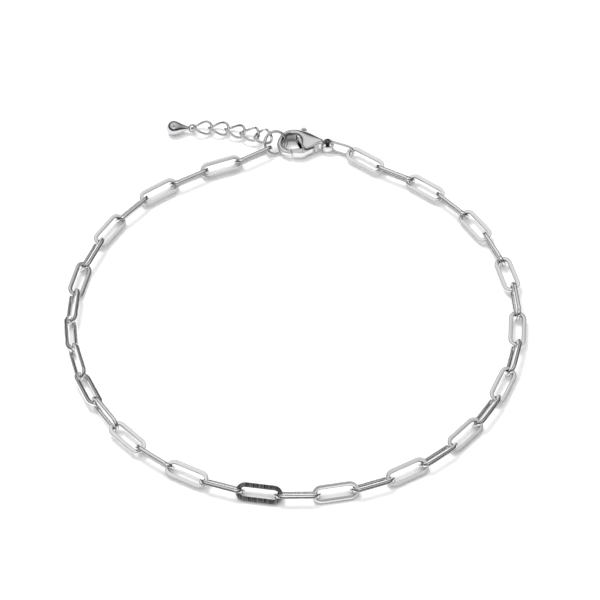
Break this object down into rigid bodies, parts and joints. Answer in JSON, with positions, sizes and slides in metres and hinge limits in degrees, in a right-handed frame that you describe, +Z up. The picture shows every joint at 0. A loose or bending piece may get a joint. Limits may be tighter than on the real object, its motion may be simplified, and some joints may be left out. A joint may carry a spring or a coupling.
{
  "type": "paperclip chain bracelet",
  "caption": "Polished steel paperclip chain bracelet, closed in a loop by a lobster clasp and a round jump ring, with a short extender chain ending in a teardrop.",
  "frame": {"origin": "middle of the whole piece's box in plan, on the table it lies on", "axes": "+Z up from the table, +Y towards the clasp, +X to the right as the picture sees it"},
  "size_m": [0.0766, 0.0834, 0.0042],
  "materials": {
    "link_steel": "flat-rolled stainless steel wire, lightly brushed faces and bright edges",
    "ring_steel": "polished round stainless steel wire",
    "clasp_steel": "polished stainless steel casting with fine machining lines inside the hook",
    "drop_steel": "mirror polished stainless steel"
  },
  "bodies": {
    "chain": {"link_01": "link_steel", "link_02": "link_steel", "link_03": "link_steel", "link_04": "link_steel", "link_05": "link_steel", "link_06": "link_steel", "link_07": "link_steel", "link_08": "link_steel", "link_09": "link_steel", "link_10": "link_steel", "link_11": "link_steel", "link_12": "link_steel", "link_13": "link_steel", "link_14": "link_steel", "link_15": "link_steel", "link_16": "link_steel", "link_17": "link_steel", "link_18": "link_steel", "link_19": "link_steel", "link_20": "link_steel", "link_21": "link_steel", "link_22": "link_steel", "link_23": "link_steel", "link_24": "link_steel", "link_25": "link_steel", "link_26": "link_steel", "link_27": "link_steel", "link_28": "link_steel", "link_29": "link_steel", "link_30": "link_steel", "link_31": "link_steel", "link_32": "link_steel", "link_33": "link_steel", "link_34": "link_steel", "link_35": "link_steel", "link_36": "link_steel", "jump_ring": "ring_steel", "clasp_ring": "ring_steel", "clasp_body": "clasp_steel", "extender_link_5": "ring_steel", "extender_link_4": "ring_steel", "extender_link_3": "ring_steel", "extender_link_2": "ring_steel", "extender_link_1": "ring_steel", "end_drop": "drop_steel"},
    "lever": {"clasp_lever": "clasp_steel"}
  },
  "joints": [
    {"name": "LEVER", "type": "hinge", "parent": "chain", "child": "lever", "pos_m": [0.00267, 0.03623, 0.0013], "axis": [0, 0, -1], "range_deg": [0, 20], "stiffness_Nm_per_rad": 0.002}
  ]
}
